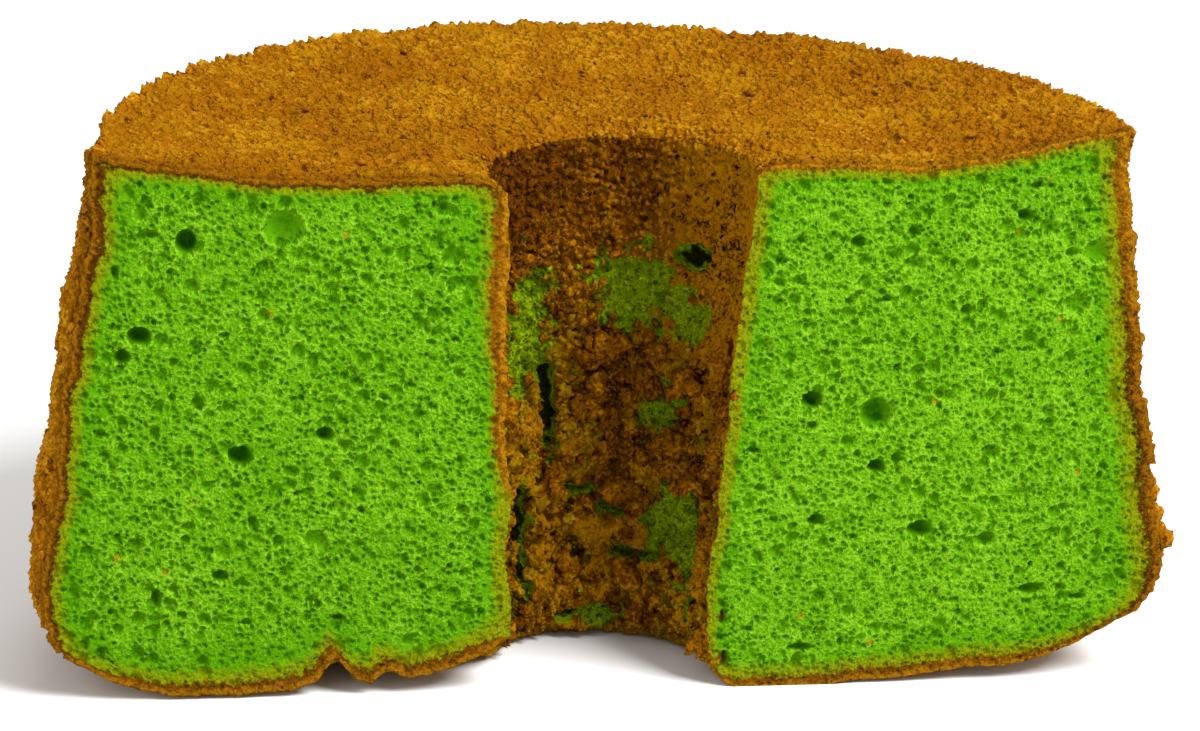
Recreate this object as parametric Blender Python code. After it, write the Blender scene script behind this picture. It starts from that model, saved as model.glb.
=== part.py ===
# Half of a tall ring cake, cut straight across beside its tube hole. It lies upside down, with the
# even crust from the bottom of the tin on top and its risen side on the table.
# The cake is laid out in millimetres round the upright axis of the ring, its cut faces look to -Y,
# and the last step turns that into metres over the middle of its footprint.
from math import pi, radians

import bmesh
import bpy
import numpy as np
from mathutils import Matrix, Vector, noise

# Driving dimensions, in millimetres
cut_offset = 9.9  # the cut runs this far in front of the ring's axis
lean_degrees = 0.8  # turned by this much, so that both ends of the cut rest on the table
crag_height = 1.0  # roughness of the crust, up and down
crag_length = 17.0  # from one crag to the next
table_height = -0.5  # what would hang below this is pressed flat on the table
sag = 2.2  # the underside hangs this much lower behind than at the cut ends
tuck = 3.0  # the upper rim draws in by this much behind the left cut
flare = 5.5  # behind the cut, the foot of the hole's wall reaches this much further into the hole
columns = 54  # faces round the half ring
wall_rows = 18  # faces from the base to the top, and those from the hole to the rim follow left_rows

# Outline of the two cut ends as (distance from the axis, height). The base and the top run from
# the hole outward, the outer wall and the hole wall run upward.
left_base = ((21.9, 11.8), (25.1, 8.6), (32, 5), (39, 3.3), (49, 2.2), (61, 1.9), (74, 1.3), (84, 1.4), (91.5, 3), (98.5, 5.6), (104.5, 9.4))
right_base = ((25.2, 2.5), (27.4, -1.2), (33.5, -1.6), (42.2, -1.4), (51, -0.7), (60.8, 0.2), (74.7, 1), (84.6, 1.5), (92.5, 3.1), (100.5, 6.2), (110.4, 12.3))
left_wall = ((104.5, 9.4), (107.7, 13.5), (109.6, 21), (109.8, 30), (108.1, 42), (105.9, 57), (103.8, 72), (101.9, 85), (99.9, 98), (99.9, 108.8))
right_wall = ((110.4, 12.3), (113.5, 15.3), (115.7, 20), (115.5, 26), (113.3, 36), (110.1, 49), (107.1, 62), (104.7, 78), (103.2, 92), (100, 113))
left_top = ((24.6, 101.2), (27, 103.6), (33.5, 104.3), (47, 103.5), (61.4, 103.6), (72.7, 104.3), (85.2, 105.9), (92.2, 106.8), (97.2, 107.6), (99.9, 108.8))
right_top = ((27.3, 104.6), (29, 106), (33.5, 106.5), (40.7, 106.6), (55.9, 106.1), (62.8, 106.6), (74.2, 107.7), (84.2, 110.3), (92, 112.2), (100, 113))
left_hole = ((21.9, 11.8), (21.4, 18), (22.3, 29.6), (22.6, 40), (23.8, 60), (23.7, 80), (23.9, 93), (24.6, 101.2))
right_hole = ((25.2, 2.5), (22.9, 9), (22.7, 18), (23.4, 33), (24.3, 49), (25.4, 70), (26.4, 88), (27.3, 104.6))

# Torn places in the wall of the tube hole as (angle, height, width, tallness, depth). Where the
# depth is below zero, a flap of crust stands out instead.
torn_places = ((64, 72, 15, 13, 1.6), (40, 79, 7, 5, 3.2), (115, 74, 8, 7, 1.8), (114, 60, 6, 9, 1.5),
               (52, 48, 9, 8, 1.2), (38, 26, 9, 11, 1.4), (105, 51, 4, 9, 1.6), (74, 4, 9, 4, 2.2),
               (121, 42, 6, 9, -1.6), (118, 14, 8, 10, -1.5), (88, 16, 9, 6, -1.2), (12, 12, 8, 14, -1.8))
# Lumps that stand out of the crust as (angle, height, width, tallness, height of the lump)
wall_lumps = ((-3, 30, 5, 9, 2.4), (2, 21, 5, 5, 1.8), (183, 92, 4, 9, 1.2), (184, 60, 4, 8, 1.3))
# Distances from the axis at which the rows of faces of the underside meet the left cut. The rows
# named by number in crack_heights are drawn up into two cracks of the risen side, which fade out
# over this share of the way round.
left_rows = (21.9, 24, 27, 31, 35.5, 40, 43.8, 47, 50.5, 54, 57.5, 62, 70, 79, 88, 97, 104.5)
crack_heights = {6: 2.2, 8: 1.6, 9: 6.2, 10: 1.4}
crack_share = 0.35
# Larger bubbles that the cut opened as (distance sideways, height, width, tallness, depth)
left_bubbles = ((-82.5, 92, 4.2, 5.2, 3.4), (-91, 74, 4.8, 3.8, 3), (-94, 70, 3.6, 3, 2.6), (-72, 50, 4.8, 4.2, 3.2),
                (-56, 54, 3.8, 3, 2.6), (-75.5, 26, 3.2, 2.6, 2.4), (-87.5, 22, 2.2, 3.8, 2.2),
                (-64.5, 94.5, 7.8, 7, 2.2), (-57.5, 33, 4.6, 3.8, 1.6), (-32.5, 89, 4.6, 3.8, 1.6))
right_bubbles = ((39.5, 59, 4.6, 3.6, 3.2), (52.5, 56, 6.6, 6.6, 3), (53.5, 45, 4, 3, 2.8), (42, 34, 4, 2.6, 2.4),
                 (63.5, 31.5, 5.6, 3.6, 3), (77.5, 29, 4.4, 3, 2.4), (80, 96, 3.4, 2.8, 2.4), (46.5, 91, 3.2, 2.6, 2.2),
                 (69.5, 77, 2.6, 2.6, 2), (88, 18, 5.6, 2.8, 2.2), (95, 88.5, 5.4, 4.8, 1.6))


def smooth_step(low, high, x):
    t = np.clip((x - low) / (high - low), 0, 1)
    return t * t * (3 - 2 * t)


def along(points, t):
    """The points at the shares t of a rounded line through the given ones."""
    p = np.array(points, float)
    for turn in range(2):
        a, b = p[:-1], p[1:]
        p = np.vstack([p[:1], np.hstack([0.75 * a + 0.25 * b, 0.25 * a + 0.75 * b]).reshape(-1, 2), p[-1:]])
    run = np.concatenate([[0], np.cumsum(np.hypot(*np.diff(p, axis=0).T))])
    return np.column_stack([np.interp(t * run[-1], run, p[:, k]) for k in (0, 1)])


def shares(rows):
    """Shares from 0 to 1 that lie closer together near both ends."""
    t = np.linspace(0, 1, rows + 1)
    return t - 0.4 * np.sin(2 * pi * t) / (2 * pi)


def outline(base, wall, top, hole):
    """The outline of one cut end, round from the foot of the hole, and the side each point is on."""
    b, w = shares(base_rows), shares(wall_rows)
    underside = along(base, b)
    if base is left_base:
        even = along(base, np.linspace(0, 1, 200))
        underside = np.column_stack([left_rows, np.interp(left_rows, *even.T)])
    sides = [underside[:-1], along(wall, w)[:-1], along(top, b)[:0:-1], along(hole, w)[:0:-1]]
    return np.vstack(sides), np.repeat((0, 1, 2, 3), [len(s) for s in sides])


def place(r, z, share):
    """Points at the given share of the way round, from the right cut to the left one."""
    first = np.arcsin(-cut_offset / r)
    angle = first + share * (pi - 2 * first)
    return np.column_stack([r * np.cos(angle), r * np.sin(angle), z])


def crag(p):
    """How far the crust stands out at a point, from about -1 to 1."""
    return noise.noise(Vector(p) / crag_length) * 1.3 + noise.noise(Vector(p) * 2.3 / crag_length) * 0.6


def bump(angle, height, marks):
    """The summed depth of the marks near a place on an upright wall."""
    total = 0
    for at, level, width, tall, depth in marks:
        across = np.radians(angle - at) * (24 if marks is torn_places else 110) / width * 2
        total = total + depth * np.exp(-(across**2) - ((height - level) / tall * 2) ** 2)
    return total


# Cross-sections round the half ring, each a closed outline with its relief
base_rows = len(left_rows) - 1
right_end, side = outline(right_base, right_wall, right_top, right_hole)
left_end, side = outline(left_base, left_wall, left_top, left_hole)
near_foot = smooth_step(60, 28, left_end[:, 0]) * smooth_step(45, 12, left_end[:, 1])  # drawn up only at the left cut
sections = []
for column in range(columns + 1):
    share = column / columns
    blend = smooth_step(0, 1, share)
    ring = right_end * (1 - blend) + left_end * blend
    raised = (left_end[:, 1] - right_end[:, 1]) * (smooth_step(0.75, 1, share) - blend)
    ring[:, 1] += raised * near_foot
    ring[:, 1] -= sag * np.sin(pi * share) ** 0.5 * (side == 0) * smooth_step(26, 44, ring[:, 0]) * smooth_step(104, 88, ring[:, 0])
    ring[:, 0] -= flare * np.sin(pi * share) ** 0.5 * smooth_step(18, 3, ring[:, 1]) * smooth_step(42, 27, ring[:, 0])
    behind_left = smooth_step(0.55, 0.8, share) * smooth_step(1, 0.95, share)
    ring[:, 0] -= tuck * behind_left * smooth_step(94, 108, ring[:, 1]) * smooth_step(80, 97, ring[:, 0])
    for row, rise in crack_heights.items():
        ring[row, 1] += rise * smooth_step(1 - crack_share, 1 - crack_share / 3, share)
    run = np.roll(ring, -1, axis=0) - np.roll(ring, 1, axis=0)
    out = np.column_stack([run[:, 1], -run[:, 0]]) / np.hypot(*run.T)[:, None]
    points = place(ring[:, 0], ring[:, 1], share)
    angle = np.degrees(np.arctan2(points[:, 1], points[:, 0]))
    angle = np.where(angle < -90, angle + 360, angle)
    height = crag_height * np.array([crag(p) for p in points]) * np.choose(side, (0.4, 1.1, 0.35, 0.7))
    height -= np.where(side == 3, bump(angle, points[:, 2], torn_places), 0)
    height += np.where(side == 1, bump(angle, points[:, 2], wall_lumps), 0)
    ring = ring + out * height[:, None]
    sections.append(place(ring[:, 0], ring[:, 1], share))
round_points = np.array(sections)

# The body: a skin of four-sided faces with a grid of faces on each cut end
mesh = bmesh.new()
skin = [[mesh.verts.new(p) for p in section] for section in round_points]
count = len(side)
for a, b in zip(skin, skin[1:]):
    for i in range(count):
        j = (i + 1) % count
        mesh.faces.new((a[i], a[j], b[j], b[i]))
b, w = shares(base_rows)[:, None, None], shares(wall_rows)[None, :, None]
for share, verts in ((0, skin[0]), (1, skin[-1])):
    loop = round_points[0 if share == 0 else -1]
    foot, rim = loop[: base_rows + 1], loop[base_rows : base_rows + wall_rows + 1]
    crown = loop[base_rows + wall_rows : 2 * base_rows + wall_rows + 1][::-1]
    bore = np.vstack([loop[2 * base_rows + wall_rows :], loop[:1]])[::-1]
    corners = foot[0] * (1 - b) * (1 - w) + foot[-1] * b * (1 - w) + crown[0] * (1 - b) * w + crown[-1] * b * w
    inside = foot[:, None] * (1 - w) + crown[:, None] * w + bore[None] * (1 - b) + rim[None] * b - corners
    grid = [[None] * (wall_rows + 1) for i in range(base_rows + 1)]
    for i in range(base_rows + 1):
        for j in range(wall_rows + 1):
            if j == 0:
                grid[i][j] = verts[i]
            elif i == base_rows:
                grid[i][j] = verts[base_rows + j]
            elif j == wall_rows:
                grid[i][j] = verts[2 * base_rows + wall_rows - i]
            elif i == 0:
                grid[i][j] = verts[2 * (base_rows + wall_rows) - j]
            else:
                grid[i][j] = mesh.verts.new(inside[i, j])
    for i in range(base_rows):
        for j in range(wall_rows):
            mesh.faces.new((grid[i][j], grid[i][j + 1], grid[i + 1][j + 1], grid[i + 1][j]))

# Turned to rest on both ends, with the lowest part of the underside pressed flat
turn = Matrix.Rotation(radians(lean_degrees), 4, "Y").inverted()
mesh.transform(turn)
for v in mesh.verts:
    v.co.z = max(v.co.z, table_height)
bmesh.ops.recalc_face_normals(mesh, faces=mesh.faces)


def add_object(name, mesh):
    data = bpy.data.meshes.new(name)
    mesh.to_mesh(data)
    mesh.free()
    made = bpy.data.objects.new(name, data)
    bpy.context.collection.objects.link(made)
    return made


for old in list(bpy.data.objects):
    bpy.data.objects.remove(old, do_unlink=True)
cake = add_object("sponge_cake", mesh)

# The opened bubbles are cut out of it
hollows = bmesh.new()
for x, z, width, tall, depth in left_bubbles + right_bubbles:
    shape = Matrix.Translation((x, -cut_offset, z)) @ Matrix.Diagonal((width / 2, depth, tall / 2, 1))
    bmesh.ops.create_icosphere(hollows, subdivisions=2, radius=1, matrix=turn @ shape)
bmesh.ops.recalc_face_normals(hollows, faces=hollows.faces)
cutter = add_object("hollows", hollows)
cut = cake.modifiers.new("hollows", "BOOLEAN")
cut.operation = "DIFFERENCE"
cut.solver = "EXACT"
cut.object = cutter
bpy.context.view_layer.objects.active = cake
bpy.ops.object.modifier_apply(modifier=cut.name)
bpy.data.objects.remove(cutter, do_unlink=True)

# Metres, with the origin in the middle of the underside
corners = np.array([v.co for v in cake.data.vertices])
low, high = corners.min(axis=0), corners.max(axis=0)
middle = Vector(((low[0] + high[0]) / 2, (low[1] + high[1]) / 2, low[2]))
cake.data.transform(Matrix.Scale(0.001, 4) @ Matrix.Translation(-middle))

# Browned sponge, a soft dull orange-brown
crust = bpy.data.materials.new("sponge_cake")
crust.use_nodes = True
shader = crust.node_tree.nodes["Principled BSDF"]
shader.inputs["Base Color"].default_value = (0.42, 0.17, 0.01, 1)
shader.inputs["Roughness"].default_value = 0.9
shader.inputs["Metallic"].default_value = 0
cake.data.materials.append(crust)
for face in cake.data.polygons:
    face.use_smooth = False
print("middle", tuple(round(v, 3) for v in middle), "size", (high - low).round(2), "faces", len(cake.data.polygons))
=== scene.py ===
import math
import random

import bpy
import numpy as np
from mathutils import Matrix, Vector, noise


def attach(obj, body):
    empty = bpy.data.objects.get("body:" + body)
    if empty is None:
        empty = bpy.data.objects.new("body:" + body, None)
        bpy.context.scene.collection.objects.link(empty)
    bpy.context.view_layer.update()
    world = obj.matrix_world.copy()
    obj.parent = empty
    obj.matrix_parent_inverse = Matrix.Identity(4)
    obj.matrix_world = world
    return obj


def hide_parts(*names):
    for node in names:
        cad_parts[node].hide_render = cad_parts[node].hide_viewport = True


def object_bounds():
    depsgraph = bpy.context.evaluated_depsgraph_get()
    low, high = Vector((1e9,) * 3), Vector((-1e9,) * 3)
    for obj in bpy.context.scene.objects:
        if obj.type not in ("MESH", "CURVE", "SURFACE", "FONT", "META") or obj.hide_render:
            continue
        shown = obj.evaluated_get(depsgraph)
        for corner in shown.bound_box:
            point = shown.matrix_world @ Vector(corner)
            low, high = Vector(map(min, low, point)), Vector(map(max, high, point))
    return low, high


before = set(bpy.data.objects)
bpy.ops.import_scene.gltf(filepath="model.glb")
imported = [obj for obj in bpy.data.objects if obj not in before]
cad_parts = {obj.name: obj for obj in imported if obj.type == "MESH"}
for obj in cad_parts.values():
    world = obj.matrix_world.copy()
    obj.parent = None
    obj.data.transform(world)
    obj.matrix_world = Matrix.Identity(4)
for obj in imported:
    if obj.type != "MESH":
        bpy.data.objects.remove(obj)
bpy.ops.object.select_all(action="DESELECT")
solidBox = [list(corner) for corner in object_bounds()]
mm = 0.001

# the form, the same as the solid's
form = {
    "axis": (-3.213, -51.616, 0.5),  # where the ring's axis meets the table, in the solid's place
    "cutOffset": 9.9,  # the cut runs this far in front of the axis
    "baseWidth": 86,  # from the hole to the rim
    "lean": 0.8,  # degrees that the half leans to rest on both ends of its cut
    "tableHeight": -0.5,  # what would hang below is pressed flat
    "sag": 2.2,  # the underside hangs lower behind than at the cut
    "sagAt": ((26, 44), (104, 88)),  # distances where it starts and ends
    "tuck": 3.0,  # the upper rim draws in behind the left cut
    "tuckAt": ((94, 108), (80, 97)),  # heights and distances between which that grows
    "tuckRound": ((0.55, 0.8), (1, 0.95)),  # shares of the way round where it starts and ends
    "flare": 5.5,  # behind the cut, the foot of the hole's wall reaches further into the hole
    "flareAt": ((18, 3), (42, 27)),  # heights and distances between which that grows
    "footAt": ((60, 28), (45, 12)),  # distances and heights of the foot drawn up at the left cut
    "footRound": (0.75, 1),  # shares of the way round between which that grows
    # outlines of the two cut ends as (distance from the axis, height); the base and the top run
    # outward, the wall and the hole run upward
    "leftBase": ((21.9, 11.8), (25.1, 8.6), (32, 5), (39, 3.3), (49, 2.2), (61, 1.9), (74, 1.3),
                 (84, 1.4), (91.5, 3), (98.5, 5.6), (104.5, 9.4)),
    "rightBase": ((25.2, 2.5), (27.4, -1.2), (33.5, -1.6), (42.2, -1.4), (51, -0.7), (60.8, 0.2),
                  (74.7, 1), (84.6, 1.5), (92.5, 3.1), (100.5, 6.2), (110.4, 12.3)),
    "leftWall": ((104.5, 9.4), (107.7, 13.5), (109.6, 21), (109.8, 30), (108.1, 42), (105.9, 57),
                 (103.8, 72), (101.9, 85), (99.9, 98), (99.9, 108.8)),
    "rightWall": ((110.4, 12.3), (113.5, 15.3), (115.7, 20), (115.5, 26), (113.3, 36),
                  (110.1, 49), (107.1, 62), (104.7, 78), (103.2, 92), (100, 113)),
    "leftTop": ((24.6, 101.2), (27, 103.6), (33.5, 104.3), (47, 103.5), (61.4, 103.6),
                (72.7, 104.3), (85.2, 105.9), (92.2, 106.8), (97.2, 107.6), (99.9, 108.8)),
    "rightTop": ((27.3, 104.6), (29, 106), (33.5, 106.5), (40.7, 106.6), (55.9, 106.1),
                 (62.8, 106.6), (74.2, 107.7), (84.2, 110.3), (92, 112.2), (100, 113)),
    "leftHole": ((21.9, 11.8), (21.4, 18), (22.3, 29.6), (22.6, 40), (23.8, 60), (23.7, 80),
                 (23.9, 93), (24.6, 101.2)),
    "rightHole": ((25.2, 2.5), (22.9, 9), (22.7, 18), (23.4, 33), (24.3, 49), (25.4, 70),
                  (26.4, 88), (27.3, 104.6)),
    # cracks under the left cut, as distances from the axis and how far the underside rises there
    "crackAt": (40, 43.8, 47, 50.5, 54, 57.5, 62),
    "crackRise": (0, 2.2, 0, 1.6, 6.2, 1.4, 0),
    "crackRound": (0.65, 0.23),  # shares of the way round where they begin, and that they grow over
    "crackSlant": 9,  # they lie this much further out at the right cut
}


def smoothStep(low, high, x):
    t = np.clip((x - low) / (high - low), 0, 1)
    return t * t * (3 - 2 * t)


def alongLine(points, shares):
    # points at these shares of a rounded line through the given ones
    p = np.array(points, float)
    for turn in range(2):
        a, b = p[:-1], p[1:]
        between = np.hstack([0.75 * a + 0.25 * b, 0.25 * a + 0.75 * b]).reshape(-1, 2)
        p = np.vstack([p[:1], between, p[-1:]])
    run = np.concatenate([[0], np.cumsum(np.hypot(*np.diff(p, axis=0).T))])
    return np.column_stack([np.interp(shares * run[-1], run, p[:, k]) for k in (0, 1)])


def unevenness(points, length, shift=0.0):
    # smooth noise from -1 to 1, with lumps of about this length; the shift tells layers apart
    flat = (points.reshape(-1, 3) / length + shift).tolist()
    return np.array([noise.noise(p) for p in flat]).reshape(points.shape[:-1])


def endOutline(end, baseRows, wallRows):
    # round one cut end from the foot of the hole, with the side that each point is on
    base, wall = np.linspace(0, 1, baseRows + 1), np.linspace(0, 1, wallRows + 1)
    lines = [alongLine(form[end + "Base"], base)[:-1], alongLine(form[end + "Wall"], wall)[:-1],
             alongLine(form[end + "Top"], base)[:0:-1], alongLine(form[end + "Hole"], wall)[:0:-1]]
    return np.vstack(lines), np.repeat((0, 1, 2, 3), [len(line) for line in lines])


def placeRound(ring, share):
    # from (distance, height) at a share of the way round to a place; both cuts stay flat
    r = ring[..., 0]
    first = np.arcsin(-form["cutOffset"] / r)
    angle = first + share * (math.pi - 2 * first)
    return np.stack([r * np.cos(angle), r * np.sin(angle), ring[..., 1]], axis=-1)


def leaned(vectors):
    # turned as the half leans on the table
    lean = math.radians(form["lean"])
    x, y, z = vectors[..., 0], vectors[..., 1], vectors[..., 2]
    across = x * math.cos(lean) - z * math.sin(lean)
    return np.stack([across, y, x * math.sin(lean) + z * math.cos(lean)], axis=-1)


def intoFrame(points):
    # from the ring's own millimetres to the solid's metres, resting on the table
    placed = leaned(points)
    placed[..., 2] = np.maximum(placed[..., 2], form["tableHeight"])
    return (placed + np.array(form["axis"])) * mm


# torn places in the wall of the tube hole, and what stands out of the crust
wear = {
    # marks as (degrees round, height, width, tallness, depth or height), in millimetres
    "torn": ((64, 73, 16, 15, 1.5), (37, 69, 9, 10, 1.3), (38, 80.5, 7, 4.5, 3.4),
             (116, 72, 9, 8, 1.5), (120, 60, 11, 20, 1.5), (47, 48, 10, 12, 1.2),
             (34, 26, 13, 17, 1.5), (22, 19, 6, 14, 1.4), (105, 47, 2.6, 18, 3.2),
             (76, 5, 16, 4, 1.6), (92, 5, 7, 2.4, 3), (123, 22, 3, 24, 3.8), (90, 30, 9, 2, 2.6),
             (68, 26, 7, 2.4, 2.4), (58, 17, 12, 2.2, 2.6), (8, 10, 2.4, 14, 3.5)),
    "deepest": 2.6,  # of what is torn out, less than the crust's thickness
    "fray": ((3.1, 0.75), (1.2, 0.4)),  # lengths and heights of the ragged edges of those places
    "flaps": ((121, 42, 6, 9, 2.2), (114, 22, 9, 12, 2.8), (108, 10, 9, 8, 2),
              (88, 23, 9, 5, 2.4), (76, 20, 8, 5, 2.4), (70, 13, 10, 8, 2.2), (56, 14, 7, 9, 2),
              (97, 42, 7, 6, 1.6), (88, 2, 12, 5, 2.2), (12, 12, 8, 14, 2.2), (26, 15, 6, 8, 2.6),
              (84, 60, 12, 6, 1), (50, 62, 8, 5, 1.4)),
    "clumps": ((6.5, 1.5), (2.4, 0.8)),  # lengths and heights of the clumps low in the hole
    "clumpsAt": (80, 35),  # heights between which they grow
    "inwardAt": (0.5, 5),  # they and the flaps keep this far back from the cut
    "lumps": ((-3, 30, 5, 9, 2.4), (2, 21, 5, 5, 1.8), (183, 92, 4, 9, 1.2), (184, 60, 4, 8, 1.3),
              (185, 102, 7, 9, 1.8)),
    # length and height of the broad, the middle and the fine unevenness of the crust
    "crag": (17.0, 1.0),
    "crumble": (4.5, 0.55),
    "grit": (1.6, 0.36),
    "share": (0.4, 1.1, 0.35, 0.7),  # how much of it base, wall, top and hole get
    "radius": {"wall": 110, "hole": 24},  # distance from the axis where marks are measured
}


def nearMarks(points, marks, radius, sharpness):
    # the depth of the marks at each point; sharp ones have ragged edges, others add up
    angle = np.degrees(np.arctan2(points[..., 1], points[..., 0]))
    angle = np.where(angle < -90, angle + 360, angle)
    total = np.zeros(angle.shape)
    if sharpness:
        (coarse, most), (fine, least) = wear["fray"]
        fray = most * unevenness(points, coarse, 7.7) + least * unevenness(points, fine, 2.2)
    for at, level, width, tall, depth in marks:
        across = np.radians(angle - at) * radius * 2 / width
        away = np.hypot(across, (points[..., 2] - level) * 2 / tall)
        if sharpness:
            total = np.maximum(total, depth * smoothStep(1 + sharpness, 1 - sharpness, away + fray))
        else:
            total = total + depth * np.exp(-(away**2))
    return total


def smoothRings(baseRows, wallRows, shares):
    # cross-sections at these shares of the way round, before any roughness
    right, sides = endOutline("right", baseRows, wallRows)
    left, sides = endOutline("left", baseRows, wallRows)
    blend = smoothStep(0, 1, shares)[None, :, None]
    ring = right[:, None] * (1 - blend) + left[:, None] * blend
    distances, heights = form["footAt"]
    nearFoot = smoothStep(*distances, left[:, 0]) * smoothStep(*heights, left[:, 1])
    raised = (left[:, 1] - right[:, 1]) * nearFoot
    drawnUp = smoothStep(*form["footRound"], shares) - blend[0, :, 0]
    ring[..., 1] += raised[:, None] * drawnUp[None]
    under = (sides == 0)[:, None]
    r = ring[..., 0]
    behind = np.sin(math.pi * shares)[None] ** 0.5
    inner, outer = form["sagAt"]
    ring[..., 1] -= form["sag"] * behind * under * smoothStep(*inner, r) * smoothStep(*outer, r)
    heights, distances = form["flareAt"]
    ring[..., 0] -= (form["flare"] * behind * smoothStep(*heights, ring[..., 1])
                     * smoothStep(*distances, r))
    first, last = form["tuckRound"]
    behindLeft = smoothStep(*first, shares) * smoothStep(*last, shares)
    heights, distances = form["tuckAt"]
    ring[..., 0] -= (form["tuck"] * behindLeft * smoothStep(*heights, ring[..., 1])
                     * smoothStep(*distances, r))
    begin, growth = form["crackRound"]
    crackEven = np.array(form["crackAt"])
    for column, share in enumerate(shares):
        fade = smoothStep(begin, begin + growth, share)
        if fade > 0:
            slanted = crackEven + form["crackSlant"] * (1 - smoothStep(0, 1, share))
            rise = np.interp(r[:, column], slanted, form["crackRise"])
            ring[:, column, 1] += rise * fade * under[:, 0]
    return ring, sides


def roughness(side, points, weight):
    # how far the points of a side are shifted outward; in the hole also how torn they are, and how
    # far its clumps, flaps and torn places alone shift them
    length, height = wear["crag"]
    broad = 1.3 * unevenness(points, length) + 0.6 * unevenness(points, length / 2.3)
    rise = height * weight * broad
    length, height = wear["crumble"]
    rise += height * weight * unevenness(points, length, 3.3)
    length, height = wear["grit"]
    rise += height * (0.6 + 0.8 * weight) * unevenness(points, length, 5.1)
    torn, stand = np.zeros(rise.shape), np.zeros(rise.shape)
    if side == 1:
        lumps = nearMarks(points, wear["lumps"], wear["radius"]["wall"], 0)
        rise += lumps * (0.7 + 0.6 * unevenness(points, 2.3))
    if side == 3:
        depth = nearMarks(points, wear["torn"], wear["radius"]["hole"], 0.4)
        torn = np.clip(depth / 1.2, 0, 3)
        flaps = nearMarks(points, wear["flaps"], wear["radius"]["hole"], 0.5)
        flaps = flaps * (0.85 + 0.9 * unevenness(points, 2.6))
        (longest, highest), (short, fine) = wear["clumps"]
        clumps = (highest * (0.5 - 2 * np.abs(unevenness(points, longest, 9.1)))
                  + fine * unevenness(points, short, 1.9))
        clumps *= smoothStep(*wear["clumpsAt"], points[..., 2])
        inward = smoothStep(*wear["inwardAt"], points[..., 1] + form["cutOffset"])
        stand = (flaps + clumps) * inward - np.minimum(depth, wear["deepest"])
        rise += stand
    return rise, torn, stand


def skin(side, baseRows, wallRows, shares):
    # rows of points over one side, 0 base, 1 wall, 2 top or 3 hole, their outward directions, and
    # what roughness says of how torn they are and stand out
    ring, sides = smoothRings(baseRows, wallRows, shares)
    reach = max(1, round(2 * baseRows / form["baseWidth"]))  # rows to a spacing of 2 mm
    run = np.roll(ring, -reach, axis=0) - np.roll(ring, reach, axis=0)
    out = np.stack([run[..., 1], -run[..., 0]], axis=-1)
    out /= np.hypot(run[..., 0], run[..., 1])[..., None]
    weight = np.choose(sides, wear["share"]).astype(float)
    nearby = range(-3 * reach, 3 * reach + 1)
    weight = np.mean([np.roll(weight, k) for k in nearby], axis=0)[:, None]
    starts = (0, baseRows, baseRows + wallRows, 2 * baseRows + wallRows)
    length = (baseRows, wallRows, baseRows, wallRows)[side]
    rows = (np.arange(length + 1) + starts[side]) % len(sides)
    ring, out, weight = ring[rows], out[rows], weight[rows]
    if side >= 2:
        ring, out, weight = ring[::-1], out[::-1], weight[::-1]
    rise, torn, stand = roughness(side, placeRound(ring, shares), weight)
    moved = placeRound(ring + out * rise[..., None], shares)
    outward = placeRound(ring + out * (rise[..., None] + 0.5), shares) - moved
    outward /= np.linalg.norm(outward, axis=-1)[..., None]
    return moved, outward, torn, stand


def addSheet(name, points):
    # a grid primitive, its points set in place row by row
    n, m = points.shape[:2]
    bpy.ops.mesh.primitive_grid_add(x_subdivisions=m - 1, y_subdivisions=n - 1, size=1)
    sheet = bpy.context.object
    sheet.name = sheet.data.name = name
    sheet.data.vertices.foreach_set("co", points.astype(np.float32).ravel())
    return sheet


def closedShell(name, points, outward, depth, backing):
    # a fine sheet backed by a coarse one further in, bridged round their edges into a closed shell
    n, m = points.shape[:2]
    step, trim = backing
    rows = np.clip(np.arange(0, n, step), trim, n - 1 - trim)
    columns = np.clip(np.arange(0, m, step), trim, m - 1 - trim)
    back = addSheet(name + "Back", (points - outward * depth)[np.ix_(rows, columns)])
    shell = addSheet(name, points)
    back.select_set(True)
    bpy.ops.object.join()
    bpy.ops.object.mode_set(mode="EDIT")
    bpy.ops.mesh.select_mode(type="EDGE")
    bpy.ops.mesh.select_all(action="DESELECT")
    bpy.ops.mesh.select_non_manifold(use_wire=False, use_multi_face=False,
                                     use_non_contiguous=False, use_verts=False)
    bpy.ops.mesh.bridge_edge_loops()
    bpy.ops.mesh.select_all(action="SELECT")
    bpy.ops.mesh.normals_make_consistent(inside=False)
    bpy.ops.object.mode_set(mode="OBJECT")
    bpy.ops.object.shade_smooth()
    return shell


def giveValues(shell, name, values, kind="FLOAT"):
    # one value for each fine point; the inner sheet gets zeros
    width = 3 if kind == "FLOAT_VECTOR" else 1
    full = np.zeros((len(shell.data.vertices), width), np.float32)
    flat = values.reshape(-1, width)
    full[: len(flat)] = flat
    made = shell.data.attributes.new(name, kind, "POINT")
    made.data.foreach_set("vector" if width == 3 else "value", full.ravel())


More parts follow.
